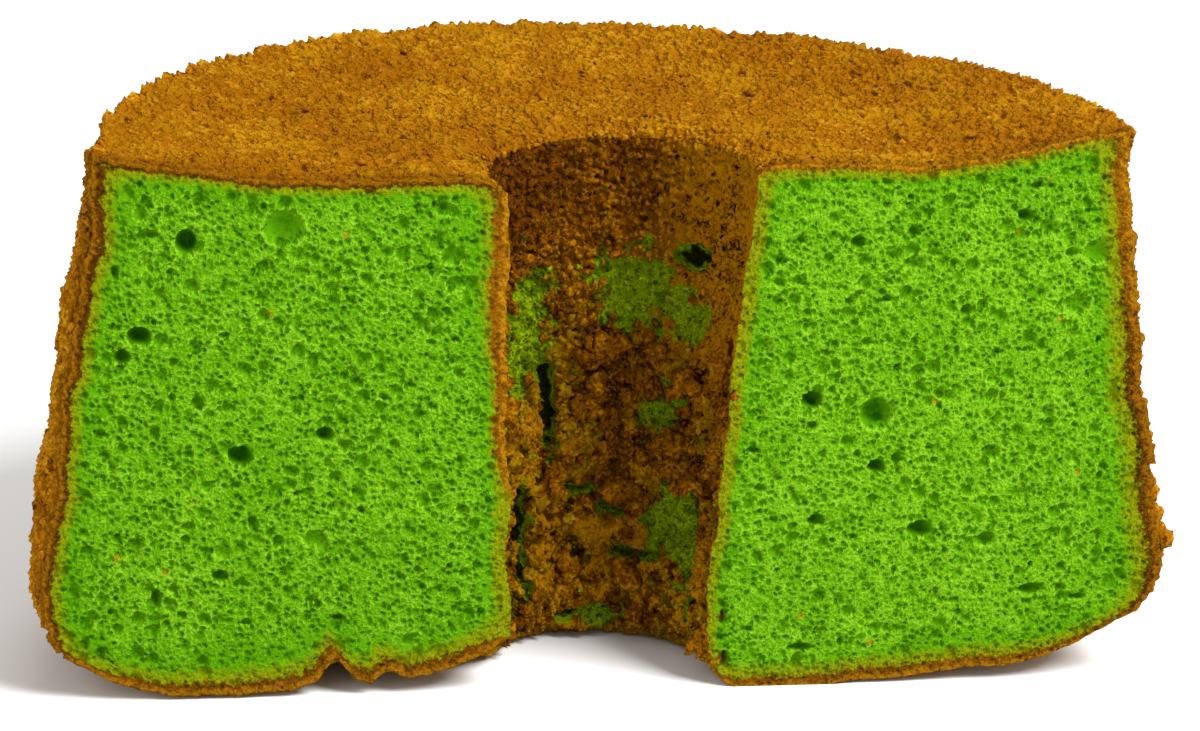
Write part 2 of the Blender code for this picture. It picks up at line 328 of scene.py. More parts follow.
# node trees, for materials and meshes alike
class Wire:
    # one output of a node; arithmetic on it adds Math nodes
    def __init__(self, tree, socket=None):
        self.tree, self.socket = tree, socket

    def node(self, kind, settings=None, inputs=None, output=0):
        made = self.tree.nodes.new(kind)
        for key, value in (settings or {}).items():
            setattr(made, key, value)
        for key, value in (inputs or {}).items():
            if isinstance(value, Wire):
                self.tree.links.new(value.socket, made.inputs[key])
            else:
                made.inputs[key].default_value = value
        return Wire(self.tree, None if output is None else made.outputs[output])

    def beside(self, output):
        return Wire(self.tree, self.socket.node.outputs[output])

    def calc(self, operation, *values):
        return self.node("ShaderNodeMath", {"operation": operation}, dict(enumerate(values)))

    def __add__(self, other):
        return self.calc("ADD", self, other)

    def __sub__(self, other):
        return self.calc("SUBTRACT", self, other)

    def __rsub__(self, other):
        return self.calc("SUBTRACT", other, self)

    def __mul__(self, other):
        return self.calc("MULTIPLY", self, other)

    def __truediv__(self, other):
        return self.calc("DIVIDE", self, other)

    __radd__, __rmul__ = __add__, __mul__

    def most(self, other):
        return self.calc("MAXIMUM", self, other)

    def least(self, other):
        return self.calc("MINIMUM", self, other)

    def between(self, low, high):
        # a smooth step from 0 at low to 1 at high
        inputs = {"Value": self, "From Min": low, "From Max": high}
        return self.node("ShaderNodeMapRange", {"interpolation_type": "SMOOTHSTEP"}, inputs)

    def stretched(self, x, y, z):
        return self.node("ShaderNodeVectorMath", {"operation": "MULTIPLY"}, {0: self, 1: (x, y, z)})

    def scaled(self, factor):
        return self.node("ShaderNodeVectorMath", {"operation": "SCALE"}, {0: self, 3: factor})

    def moved(self, other):
        return self.node("ShaderNodeVectorMath", {"operation": "ADD"}, {0: self, 1: other})

    def axis(self, index):
        # one number of a vector
        return self.node("ShaderNodeSeparateXYZ", None, {0: self}, index)

    def noise(self, size, detail, output=0):
        inputs = {"Vector": self, "Scale": 1 / size, "Detail": detail}
        return self.node("ShaderNodeTexNoise", None, inputs, output)

    def warped(self, size, pull, detail=2.0):
        # a place pulled about by noise of this size
        return self.moved(self.noise(size, detail, 1).stretched(pull, pull, pull))

    def cells(self, size, feature="F1"):
        inputs = {"Vector": self, "Scale": 1 / size}
        return self.node("ShaderNodeTexVoronoi", {"feature": feature}, inputs)

    def chance(self, least, spread):
        # a cell's own chance number
        return self.beside(1).axis(0) * spread + least

    def blend(self, first, second):
        # this value mixes two colours
        settings = {"data_type": "RGBA", "blend_type": "MIX", "clamp_factor": True}
        first, second = (c if isinstance(c, Wire) else (*c, 1) for c in (first, second))
        return self.node("ShaderNodeMix", settings, {0: self, 6: first, 7: second}, 2)


# the pores of the crumb, in millimetres
crumb = {
    "poreSize": 1.25,  # of the cell that a pore lies in
    "poreReach": (0.24, 0.36),  # least radius of a pore in its cell, and how much more by chance
    "bowlSize": 3.2,
    "bowlReach": (0.001, 0.5),
    "bowlChance": (0.12, 1.05),  # cells whose chance number is below the first hold no bowl
    "wander": (2.1, 1.5),  # over what length and how far the pores are pulled out of round
    "ridgeAt": (0.16, 0.02),  # distances from a cell's edge between which a ridge rises
    "poreDepth": 0.35,
    "bowlDepth": 0.9,
    "ridgeHeight": 0.15,
    # colours in linear values; light is partly a painted highlight on the walls and ridges between
    # the pores, deep the painted shade in pores and bowls
    "light": (0.205, 0.455, 0.013),
    "middle": (0.079, 0.26, 0.0012),
    "deep": (0.012, 0.083, 0.0003),
    "yellowed": (0.175, 0.205, 0.0016),
    "golden": (0.32, 0.135, 0.0025),
    "browned": (0.19, 0.072, 0.0012),
    "burnt": (0.055, 0.017, 0.0005),
    "fleck": (0.33, 0.19, 0.006),
}


def sponge(at):
    # at a place in millimetres: fine pores, wider bowls and the ridges between them, each 0 to 1
    bent = at.warped(*crumb["wander"])
    far = bent.cells(crumb["poreSize"])
    pore = (far / far.chance(*crumb["poreReach"])).between(1.15, 0.35)
    away = bent.moved((7.1, 3.3, 5.9)).cells(crumb["bowlSize"])
    least, spread = crumb["bowlReach"]
    wide = away.beside(1).axis(0).between(*crumb["bowlChance"]) * spread + least
    across = away / wide
    bowl, rim = across.between(1.1, 0.25), across.between(1.7, 1.1) - across.between(1.1, 0.9)
    edge = bent.cells(crumb["poreSize"], "DISTANCE_TO_EDGE")
    ridge = edge.between(*crumb["ridgeAt"]) * 0.6 + rim * 0.5
    calm = 1 - bowl * 0.85
    return pore * calm, bowl, ridge * calm


# the grain of the browned crust, in millimetres
crustGrain = {
    "lumpSize": 1.25,
    "lumpWander": (1.7, 1.7),
    "softSize": 3.2,
    "lumpTones": (0.40, 0.92),  # sums of both between which a crevice turns into a lump
    "pitSize": 1.35,
    "pitWander": (1.4, 2.0, 3.0),
    "pitReach": (0.1, 0.45),
}


def suede(at):
    # crumbly lumps at a place in millimetres, from 0 in a crevice to 1
    grains = 1 - at.warped(*crustGrain["lumpWander"]).cells(crustGrain["lumpSize"])
    soft = at.noise(crustGrain["softSize"], 4.0)
    return (grains * 0.55 + soft * 0.8).between(*crustGrain["lumpTones"])


def pitted(at):
    # fine dark pits, from 0 to 1
    far = at.warped(*crustGrain["pitWander"]).cells(crustGrain["pitSize"])
    return (far / far.chance(*crustGrain["pitReach"])).between(1.1, 0.3)


def carve(shell, name, build):
    # shifts every point of the shell just made by what build works out, with Geometry Nodes
    tree = bpy.data.node_groups.new(name, "GeometryNodeTree")
    for direction in ("INPUT", "OUTPUT"):
        tree.interface.new_socket("Geometry", in_out=direction, socket_type="NodeSocketGeometry")
    start = Wire(tree)
    shape = start.node("NodeGroupInput")
    place = start.node("GeometryNodeInputPosition").stretched(1 / mm, 1 / mm, 1 / mm)
    offset = build(place).stretched(mm, mm, mm)
    moved = start.node("GeometryNodeSetPosition", None, {"Geometry": shape, "Offset": offset})
    start.node("NodeGroupOutput", None, {0: moved}, None)
    modifier = shell.modifiers.new(name, "NODES")
    modifier.node_group = tree
    bpy.ops.object.modifier_apply(modifier=modifier.name)


def readValue(start, name, kind="FLOAT"):
    return start.node("GeometryNodeInputNamedAttribute", {"data_type": kind}, {"Name": name})


# the two cut faces
cutFaces = {
    "rows": (260, 320),  # points from hole to rim and from base to top
    "thick": 5.0,
    "backing": (20, 8),  # rows to one of the inner sheet, and rows it is cut back by
    # widths of the browned edge at the base, the top, the wall low and high, the hole low and high
    "leftRind": (4.8, 2.2, 3.3, 4.0, 2.6, 4.4),
    "rightRind": (4.2, 2.3, 5.6, 4.7, 2.3, 2.7),
    # how golden, rather than dark, those edges are, and at what share of the width they turn yellow
    "leftGold": (0.4, 0.25, 0.15, 0.1, 0.7, 1.0),
    "rightGold": (0.5, 0.9, 0.1, 0.9, 0.6, 0.6),
    "leftTurn": (0.6, 0.6, 0.6, 0.65, -0.6, 0.78),
    "rightTurn": (0.58, 0.5, 0.55, 0.62, -0.1, 0.0),
    # heights between which the lower values change to the upper ones
    "wallChange": (60, 95),
    "holeChange": {"Rind": (55, 85), "Gold": (30, 50), "Turn": (30, 50)},
    "cornering": 2.5,  # the lower, the rounder are the corners of the green part
    # opened bubbles as (sideways, height, width, tallness, depth)
    "leftBubbles": (
        (-82.5, 92, 4.2, 5.2, 3.6), (-91, 74, 4.8, 3.8, 3.2), (-94, 70, 3.6, 3, 2.8),
        (-72, 50, 4.8, 4.2, 3.4), (-56, 54, 3.8, 3, 2.8), (-95.5, 86.5, 1.8, 2.6, 2),
        (-75.5, 26, 3.2, 2.6, 2.4), (-87.5, 22, 2.2, 3.8, 2.4), (-88, 55, 2.2, 3.4, 1.6),
        (-80, 61, 2.4, 2, 1.8), (-69.5, 37, 2, 2.2, 1.8), (-52.5, 16.5, 3, 1.2, 1.6),
        (-64.5, 94.5, 7.8, 7, 2), (-81.5, 83.5, 3.6, 3, 1.2), (-57.5, 33, 4.6, 3.8, 1.5),
        (-92, 32, 3.4, 4.2, 1.2), (-75, 31, 3.8, 3, 1.1), (-91, 97.5, 2.6, 3.2, 1.4),
        (-103, 23.5, 2.2, 4.2, 1.2), (-99.5, 18.5, 2.6, 3, 1.2), (-95, 16, 2.6, 2.2, 1),
        (-34.5, 98, 3.4, 3, 1.3), (-32.5, 89, 4.6, 3.8, 1.5), (-32, 83.5, 3.8, 3, 1.2),
        (-55.5, 83, 3.4, 2.6, 1.1), (-53.5, 74.5, 3.8, 2.6, 1.1), (-35.5, 74, 4.2, 2.6, 1.1),
        (-50.5, 64.5, 3.4, 2.6, 1.1), (-53.5, 39.5, 3.4, 2.6, 1), (-35, 42.5, 3.4, 2.6, 1),
        (-29, 38, 3, 2.4, 1),
    ),
    "rightBubbles": (
        (39.5, 59, 4.6, 3.6, 3.4), (52.5, 56, 6.6, 6.6, 2.8), (53.5, 45, 4, 3, 3),
        (57.5, 46.5, 2.6, 2.8, 2), (42, 34, 4, 2.6, 2.6), (63.5, 31.5, 5.6, 3.6, 3),
        (77.5, 29, 4.4, 3, 2.2), (88, 18, 5.6, 2.8, 2.4), (40.5, 7, 6, 1.6, 2.2),
        (98, 16, 4, 1.6, 2), (80, 96, 3.4, 2.8, 2.6), (46.5, 91, 3.2, 2.6, 2.4),
        (69.5, 77, 2.6, 2.6, 2), (28, 49, 2.8, 1.4, 1.6), (30, 41, 2.8, 1.8, 1.6),
        (31, 83, 2.4, 2, 1.4), (45.5, 79, 2, 1.6, 1.6), (53, 79.5, 2, 1.6, 1.6),
        (90, 88.5, 2.8, 2.4, 1.6), (81.5, 102, 2.8, 1.6, 1.6), (24.8, 5.2, 2.6, 3.6, 3),
        (24, 14, 1.6, 3, 2), (35, 91.5, 2, 2, 1.6), (57.5, 93, 2.4, 2, 1.6),
        (58, 86.5, 4.6, 3.4, 1.4), (85, 93.5, 4.2, 3.6, 1.5), (95, 88.5, 5.4, 4.8, 1.5),
        (92, 78, 5.6, 4.4, 1.4), (77, 47.5, 4, 3.6, 1.4), (84, 38.5, 3.2, 2.8, 1.2),
        (65.5, 60, 3.2, 2.8, 1.2), (88, 56, 3.2, 2.8, 1.1), (94, 46, 3.2, 2.8, 1.1),
        (48, 83, 3, 2.4, 1),
    ),
    "strayBubbles": (380, 1.0, 2.6),  # how many more, with their least and greatest width
    "strayShape": ((0.6, 1.1), (0.25, 0.6)),  # range of their tallness and depth, as shares of it
    "rimmed": 2.4,  # bubbles wider than this get a painted highlight round their rim
    "rimAt": (1.07, 0.09),  # share of the bubble's radius where that highlight lies, and its width
    "seed": 5,
}


def openedBubbles(x, z, bubbles):
    # how deep a cut face is hollowed, and how near a place is to a wide bubble's rim, where a
    # highlight is painted
    depth, rimHighlight = np.zeros(x.shape), np.zeros(x.shape)
    bent = np.stack([x, z, 0 * x], axis=-1)
    sway = 0.3 * unevenness(bent, 2.1, 4.4)
    rimPlace, rimWidth = cutFaces["rimAt"]
    for across, level, width, tall, deep in bubbles:
        away = np.hypot((x - across) * 2 / width, (z - level) * 2 / tall)
        away = away + sway * min(1, 1.6 / width)
        depth = np.maximum(depth, deep * np.sqrt(np.clip(1 - away**2, 0, None)))
        if width > cutFaces["rimmed"]:
            rimHighlight = np.maximum(rimHighlight, np.exp(-(((away - rimPlace) / rimWidth) ** 2)))
    return depth, rimHighlight


def strayBubbles(end, points):
    # small bubbles anywhere on a cut face
    dice = random.Random(cutFaces["seed"] + len(end))
    count, least, most = cutFaces["strayBubbles"]
    tallness, depths = cutFaces["strayShape"]
    strays = []
    for k in range(count):
        spot = points[dice.randrange(cutFaces["rows"][0]), dice.randrange(cutFaces["rows"][1])]
        width = least + (most - least) * dice.random() ** 2.2
        tall, deep = width * dice.uniform(*tallness), width * dice.uniform(*depths)
        strays.append((spot[0], spot[2], width, tall, deep))
    return strays


def edgeValues(end, kind, height):
    # what belongs to the four edges of a cut: base, wall, top and hole
    base, top, *upright = cutFaces[end + kind]
    changes = [smoothStep(*cutFaces["wallChange"], height),
               smoothStep(*cutFaces["holeChange"][kind], height)]
    pairs = zip(upright[::2], upright[1::2], changes)
    wall, hole = (low + (high - low) * change for low, high, change in pairs)
    return base, wall, top, hole


def addCut(end):
    # a sheet stretched between the four edges of a cut, hollowed where bubbles opened
    baseRows, wallRows = cutFaces["rows"]
    share = np.array([0.0 if end == "right" else 1.0])
    foot, rim, crown, bore = (skin(side, baseRows, wallRows, share)[0][:, 0] for side in range(4))
    b = np.linspace(0, 1, baseRows + 1)[:, None, None]
    w = np.linspace(0, 1, wallRows + 1)[None, :, None]
    corners = (foot[0] * (1 - b) * (1 - w) + foot[-1] * b * (1 - w)
               + crown[0] * (1 - b) * w + crown[-1] * b * w)
    points = (foot[:, None] * (1 - w) + crown[:, None] * w
              + bore[None] * (1 - b) + rim[None] * b - corners)
    height = points[..., 2]
    lines = (foot[:, None], rim[None], crown[:, None], bore[None])
    spans = [np.linalg.norm(points - line, axis=-1) for line in lines]
    # how far inside the browned edge a place is, 1 on its inner line; the four edges add up
    power, widths = cutFaces["cornering"], edgeValues(end, "Rind", height)
    near = sum((span / width + 0.001) ** -power for span, width in zip(spans, widths))
    rind = near ** (-1 / power)
    hollow, rimHighlight = openedBubbles(points[..., 0], height, cutFaces[end + "Bubbles"])
    more, moreRimHighlight = openedBubbles(points[..., 0], height, strayBubbles(end, points))
    hollow = np.maximum(hollow * smoothStep(0.3, 1, rind), more * smoothStep(0.9, 1.5, rind))
    towardsViewer = np.zeros(points.shape)
    towardsViewer[..., 1] = -1
    shell = closedShell(end + "Cut", intoFrame(points - towardsViewer * hollow[..., None]),
                        towardsViewer, cutFaces["thick"] * mm, cutFaces["backing"])
    giveValues(shell, "rind", rind)
    giveValues(shell, "hollow", hollow)
    # the rim value only paints a highlight on the crumb round wide bubbles
    giveValues(shell, "rim", np.maximum(rimHighlight, moreRimHighlight) * (hollow < 0.2))
    pulls = [1 / (span + 0.3) ** 3 for span in spans]
    for kind in ("Gold", "Turn"):
        values = zip(pulls, edgeValues(end, kind, height))
        giveValues(shell, kind.lower(), sum(pull * value for pull, value in values) / sum(pulls))

    def pores(place):
        pore, bowl, ridge = sponge(place.stretched(1, 0, 1))
        calm = 1 - readValue(place, "hollow").between(0.2, 0.9) * 0.8
        opened = pore * crumb["poreDepth"] + bowl * crumb["bowlDepth"]
        deep = (opened - ridge * crumb["ridgeHeight"]) * calm
        deep = deep * (readValue(place, "rind").between(0.1, 1.0) * 0.8 + 0.2)
        return deep.node("ShaderNodeCombineXYZ", None, {1: deep})

    carve(shell, end + "Pores", pores)
    return shell


leftCut, rightCut = addCut("left"), addCut("right")
print("cut faces made")

# the browned crust
crust = {
    "rows": (210, 260),
    "columns": {"wall": 840, "top": 840, "holeWall": 320, "underside": 420},  # points round
    "parts": {"wall": 3, "top": 2, "holeWall": 1, "underside": 1},  # pieces that share them
    "coarseness": {"wall": 1, "top": 1, "holeWall": 1, "underside": 2},
    "thick": 3.0,
    "backing": (10, 4),
    # heights of the crumbly lumps and of the softer waves below them, and depths of the fine pits
    "grain": {"wall": 1.4, "top": 1.0, "holeWall": 1.3, "underside": 0.8},
    "swell": {"wall": 0.8, "top": 2.2, "holeWall": 0.6, "underside": 0.4},
    "pits": {"wall": 0.25, "top": 0.15, "holeWall": 0.55, "underside": 0.5},
    # share of the lumps and waves that lies below the form
    "level": {"wall": 0.4, "top": 0.5, "holeWall": 0.5, "underside": 1.0},
    "waveSize": 4.5,
}


def addCrust(name, side):
    baseRows, wallRows = (count // crust["coarseness"][name] for count in crust["rows"])
    columns, parts = crust["columns"][name], crust["parts"][name]
    points, outward, torn, stand = skin(side, baseRows, wallRows, np.linspace(0, 1, columns + 1))
    points, outward = intoFrame(points), leaned(outward)
    fromCut = np.clip((points[..., 1] - solidBox[0][1]) / mm, 0, 100)

    def grain(place):
        openness = readValue(place, "torn").least(1.0)
        pore, bowl = sponge(place)[:2]
        level = crust["level"][name]
        rise = (suede(place) - level) * crust["grain"][name] - pitted(place) * crust["pits"][name]
        rise = rise + (place.noise(crust["waveSize"], 3.0) - level) * crust["swell"][name]
        rise = rise - (pore * crumb["poreDepth"] + bowl * crumb["bowlDepth"]) * openness
        rise = rise * readValue(place, "fromCut").between(0.0, 1.0)
        return readValue(place, "outward", "FLOAT_VECTOR").scaled(rise)

    made = []
    for part in range(parts):
        span = slice(part * columns // parts, (part + 1) * columns // parts + 1)
        shell = closedShell(f"{name}{part + 1}" if parts > 1 else name, points[:, span],
                            outward[:, span], crust["thick"] * mm, crust["backing"])
        for key, values in (("torn", torn), ("stand", stand), ("fromCut", fromCut)):
            giveValues(shell, key, values[:, span])
        giveValues(shell, "outward", outward[:, span], "FLOAT_VECTOR")
        carve(shell, name + "Grain", grain)
        made.append(shell)
    return made


wall, top = addCrust("wall", 1), addCrust("top", 2)
hole, base = addCrust("holeWall", 3), addCrust("underside", 0)
print("crust made")


# crumbs and flakes that cling to the crust
clinging = {
    # groups as (which skin, how many, least and greatest size in millimetres, lowest and highest
    # share of its rows, first and last share of the way round)
    "crust": (("wall", 420, 0.7, 2.2, 0.02, 0.98, 0, 1), ("wall", 160, 0.8, 2.3, 0.94, 1.0, 0, 1),
              ("top", 200, 0.6, 1.7, 0.0, 1.0, 0, 1), ("wall", 80, 0.8, 2.4, 0.0, 0.12, 0, 1),
              ("wall", 26, 1.5, 4.2, 0.1, 0.36, 0, 0.03),
              ("wall", 24, 1.2, 3.0, 0.3, 0.9, 0.97, 1),
              ("wall", 10, 1.5, 3.5, 0.9, 1.0, 0, 0.06), ("top", 70, 0.5, 1.2, 0.0, 0.02, 0, 1)),
    "hole": (("hole", 420, 0.7, 2.0, 0.01, 0.8, 0, 1),),
    "clumps": (("hole", 60, 2.0, 5.5, 0.03, 0.62, 0, 1),),
    "golden": (("hole", 80, 0.6, 1.9, 0.03, 0.7, 0, 1),
               ("hole", 40, 1.2, 3.0, 0.1, 0.62, 0.5, 0.95),
               ("hole", 14, 1.2, 2.6, 0.02, 0.2, 0.03, 0.1),
               ("hole", 50, 1.2, 3.2, 0.08, 0.5, 0.62, 0.86)),
    "green": (("hole", 40, 0.5, 1.3, 0.02, 0.75, 0, 1), ("wall", 8, 0.7, 1.5, 0.0, 0.2, 0, 1)),
    "skins": {"wall": (1, 300), "top": (2, 300), "hole": (3, 120)},  # side, and points round it
    "rows": (86, 110),
    "shape": (1, 0.8, 0.7),  # of a bit before it is roughened
    "roughness": (0.9, 2.6),  # how strong and how fine that is
    "raised": 0.16,  # share of its size by which its middle stands out
    "lowest": 1.5,  # none sits lower than this
    "behindCut": 0.55,  # or nearer to the cut than this share of its size
    "seed": 11,
}


def addClinging(name, groups, skins, dice, cuts=1):
    # one bit is modelled, then copied, roughened and laid on a skin again and again
    bpy.ops.object.select_all(action="DESELECT")
    bpy.ops.mesh.primitive_cube_add(size=0.8)
    model = bpy.context.object
    bpy.ops.object.mode_set(mode="EDIT")
    bpy.ops.mesh.subdivide(number_cuts=cuts, smoothness=1.0)
    bpy.ops.transform.resize(value=clinging["shape"])
    bpy.ops.object.mode_set(mode="OBJECT")
    strong, fine = clinging["roughness"]
    bits = []
    for which, count, least, most, low, high, first, last in groups:
        points, outward, torn = skins[which]
        rows, columns = points.shape[:2]
        for k in range(count):
            row = int((low + (high - low) * dice.random()) * (rows - 1))
            column = int((first + (last - first) * dice.random()) * (columns - 1))
            place, out = Vector(points[row, column]), Vector(outward[row, column])
            size = (least + (most - least) * dice.random() ** 2) * mm
            tooLow = place.z < clinging["lowest"] * mm
            inFront = place.y < solidBox[0][1] + size * clinging["behindCut"]
            if tooLow or inFront or torn[row, column] > 1:
                continue
            bit = model.copy()
            bit.data = model.data.copy()
            bpy.context.collection.objects.link(bit)
            turn = Matrix.Rotation(dice.uniform(0, 2 * math.pi), 4, out)
            lie = out.to_track_quat("Z", "Y").to_matrix().to_4x4()
            for v in bit.data.vertices:
                v.co *= 1 + strong * noise.fractal(v.co * fine + place * 900, 0.6, 2.0, cuts)
            move = Matrix.Translation(place + out * size * clinging["raised"])
            bit.data.transform(move @ turn @ lie @ Matrix.Scale(size, 4))
            bits.append(bit)
    bpy.data.objects.remove(model)
    for bit in bits:
        bit.select_set(True)
    bpy.context.view_layer.objects.active = bits[0]
    bpy.ops.object.join()
    bits[0].name = bits[0].data.name = name
    bpy.ops.object.shade_smooth()
    return bits[0]


skins = {}
for which, (side, columns) in clinging["skins"].items():
    points, outward, torn = skin(side, *clinging["rows"], np.linspace(0, 1, columns))[:3]
    skins[which] = intoFrame(points), outward, torn
dice = random.Random(clinging["seed"])
crustBits = addClinging("crustCrumbs", clinging["crust"], skins, dice)
holeBits = addClinging("holeCrumbs", clinging["hole"], skins, dice)
holeClumps = addClinging("holeClumps", clinging["clumps"], skins, dice, 4)
goldenBits = addClinging("goldenFlakes", clinging["golden"], skins, dice, 3)
greenBits = addClinging("spongeCrumbs", clinging["green"], skins, dice)
print("crumbs made")

# materials
crustColours = {
    # painted shade in the crevices, body, and painted highlight on the high spots of each browned
    # surface, in linear values; on loose crumbs the three vary at random
    "top": ((0.100, 0.023, 0.0003), (0.275, 0.097, 0.0010), (0.41, 0.190, 0.004)),
    "wall": ((0.105, 0.027, 0.0005), (0.42, 0.150, 0.0018), (0.60, 0.28, 0.007)),
    "hole": ((0.028, 0.006, 0.0002), (0.172, 0.056, 0.0009), (0.40, 0.175, 0.002)),
    "underside": ((0.08, 0.027, 0.0006), (0.26, 0.115, 0.002), (0.42, 0.23, 0.007)),
    "olive": (0.15, 0.14, 0.0012),
    "golden": (0.30, 0.14, 0.0015),
    "yellow": (0.34, 0.15, 0.0015),
    "flake": ((0.085, 0.036, 0.0005), (0.24, 0.12, 0.0012), (0.42, 0.25, 0.004)),
    # painted light on the right side of the hole's wall
    "side": (0.42, 0.170, 0.0014),
    # upper and upperHigh: the body and the painted highlight of the darker upper wall of the hole
    "upper": (0.105, 0.030, 0.0005),
    "upperHigh": (0.21, 0.078, 0.0012),
    "lowLip": (0.16, 0.215, 0.0018),
    # painted shade of the deepest torn hollows in the hole's wall
    "hollow": (0.010, 0.011, 0.0002),
    # deep, middle and light of the crumb where the hole's wall is torn: painted shade in its pores,
    # its own middle, and partly a painted highlight on its walls; on loose green crumbs the three
    # vary at random
    "torn": ((0.016, 0.030, 0.0001), (0.145, 0.245, 0.0009), (0.29, 0.42, 0.004)),
    "crumb": ((0.06, 0.018, 0.0004), (0.29, 0.105, 0.0012), (0.50, 0.23, 0.005)),
}
crustMarks = {
    # tones between which the painted shade of a crevice turns into the body's colour, contrast of
    # the tones, darkness of the painted shade in the pits, and strengths of the fine grain and of
    # the waves in the relief
    "dark": {"top": (0.06, 0.45), "wall": (0.08, 0.46), "hole": (0.08, 0.46),
             "underside": (0.08, 0.46)},
    "contrast": {"top": 1.15, "wall": 1.3, "hole": 1.4, "underside": 1.1},
    "pits": {"top": 0.07, "wall": 0.14, "hole": 0.38, "underside": 0.14},
    "fine": {"top": 0.3, "wall": 0.4, "hole": 0.6, "underside": 0.3},
    "waves": {"top": 1.6, "wall": 0.6, "hole": 0.4, "underside": 0.3},
    # how yellow the patches get, and the width and least brightness of the darker edge at the cut,
    # painted shade where the crust rounds down to the cut face
    "gilding": {"top": 0.75, "wall": 0.25, "underside": 0.3},
    "edge": {"top": (6, 0.62), "wall": (4, 0.5), "hole": (1, 1), "underside": (3, 0.6)},
}
holeMarks = {
    # heights, places sideways and distances from the cut between which the hole's colours change
    "rim": (103, 109),
    "lip": {"sideways": (-17, -24), "fromCut": (8, 3)},
    # heights between which the painted shade of the hole's pits grows stronger
    "pits": (60, 90),
    "low": (88, 66),
    # the body darkens towards the foot of the hole with painted shade
    "foot": (40, 10),
    "upper": {"height": (74, 90), "sideways": (20, 6)},
    # where the right side of the hole's wall is lightened with painted light
    "side": {"height": (30, 75), "sideways": (6, 21)},
    "lowLip": {"sideways": (-14, -19), "fromCut": (11, 5), "top": (52, 40), "base": (8, 18)},
    "hollow": (1.5, 2.6),  # how torn a place is where the crumb turns into the painted shade of a dark hollow
}
crumbTones = {
    "wall": 0.76,  # tone of a wall between the pores; pores and bowls darken it with painted shade, ridges lighten it with a painted highlight
    "pore": 0.44,
    "bowl": 0.32,
    "ridge": 0.2,
    "ragged": (0.6, 1.25),  # size and strength of the finest unevenness
    "patches": ((16, 0.3), (4.0, 0.35)),  # sizes and strengths of the broad ones
    "light": (0.62, 1.10),  # tones between which the middle colour turns into the light one
    "deep": (-0.05, 0.66),  # and the deep one into these
    "fleckSize": 11.0,  # one reddish fleck to a cell of this size
}


def startMaterial(name):
    material = bpy.data.materials.new(name)
    material.use_nodes = True
    tree = material.node_tree
    shader = next(node for node in tree.nodes if node.type == "BSDF_PRINCIPLED")
    shader.inputs["Specular IOR Level"].default_value = 0.02
    start = Wire(tree)
    place = start.node("ShaderNodeTexCoord", None, None, "Object").stretched(1 / mm, 1 / mm, 1 / mm)
    return material, shader, place


def finishMaterial(start, shader, colour, roughness, height, distance):
    normal = start.node("ShaderNodeBump", None, {"Height": height, "Distance": distance * mm})
    for name, value in (("Base Color", colour), ("Roughness", roughness), ("Normal", normal)):
        start.tree.links.new(value.socket, shader.inputs[name])


def attribute(start, name):
    return start.node("ShaderNodeAttribute", {"attribute_name": name}, None, "Fac")


def crumbColour(flat, hollow, deepest, middle, lightest):
    # the green of the open crumb: light on the walls between the pores, with a painted highlight on
    # the ridges, and deep with painted shade inside the pores and bowls and where hollow darkens it
    pore, bowl, ridge = sponge(flat)
    calm = 1 - hollow.between(0.05, 0.3) * 0.8 if isinstance(hollow, Wire) else 1.0
    size, strength = crumbTones["ragged"]
    ragged = (flat.noise(size, 3.0) - 0.5) * calm
    (wide, most), (narrow, least) = crumbTones["patches"]
    patches = (flat.noise(wide, 2.0) - 0.5) * most + (flat.noise(narrow, 2.0) - 0.5) * least
    pore, ridge = pore * calm, ridge * calm
    # painted shade: pores, bowls and the hollow value darken the tone; painted highlight: ridges
    # lighten it; ragged and patches are the crumb's own unevenness
    tone = crumbTones["wall"] - pore * crumbTones["pore"] - bowl * crumbTones["bowl"]
    tone = tone + ridge * crumbTones["ridge"] + ragged * strength + patches - hollow
    light = tone.between(*crumbTones["light"]).blend(middle, lightest)
    colour = tone.between(*crumbTones["deep"]).blend(deepest, light)
    spot = flat.moved((9.0, 4.0, 2.0)).cells(crumbTones["fleckSize"]) + ragged * 0.12
    relief = 0.8 - pore * 0.5 - bowl * 0.8 + ridge * 0.35 + ragged * 0.9
    return (spot.between(0.085, 0.03) * 0.75).blend(colour, crumb["fleck"]), pore, relief


def crumbLook(name):
    material, shader, place = startMaterial(name)
    flat = place.stretched(1, 0, 1)  # the pattern runs straight in from the cut face
    # painted shade deep in opened bubbles, a painted highlight on the rims of wide ones, painted
    # shade over the left cut face, and darker near the browned edge; all of it is taken off the
    # crumb's tone as hollow
    hollow = attribute(place, "hollow").between(0.4, 3.2) * 0.62 - attribute(place, "rim") * 0.26
    hollow = hollow + place.axis(0).between(20, -60) * 0.035
    hollow = hollow + attribute(place, "rind").between(3.0, 0.9) * 0.14
    colour, pore, relief = crumbColour(flat, hollow, crumb["deep"], crumb["middle"], crumb["light"])
    # towards its edges the crumb turns yellow, golden and brown, along a ragged line
    rind = attribute(place, "rind") + (flat.noise(1.3, 4.0) - 0.5) * 0.9
    rind = rind + (flat.noise(0.45, 2.0) - 0.5) * 0.5
    gold = attribute(place, "gold")
    brown = gold.blend(crumb["burnt"], crumb["browned"])
    band = rind.between(0.15, 0.45).blend(gold.blend(crumb["browned"], crumb["golden"]), brown)
    band = (rind - attribute(place, "turn")).between(-0.10, 0.15).blend(band, crumb["yellowed"])
    # the band is mottled at random and darkened in its pores and pits with painted shade
    mottleAndPoreShade = 1.05 - pore * 0.55 - pitted(flat) * 0.45 + (flat.noise(0.5, 3.0) - 0.5) * 1.6
    colour = rind.between(0.75, 1.50).blend(band.scaled(mottleAndPoreShade.most(0.12)), colour)
    finishMaterial(place, shader, colour, 0.75 + pore * 0.15, relief, 0.8)
    return material


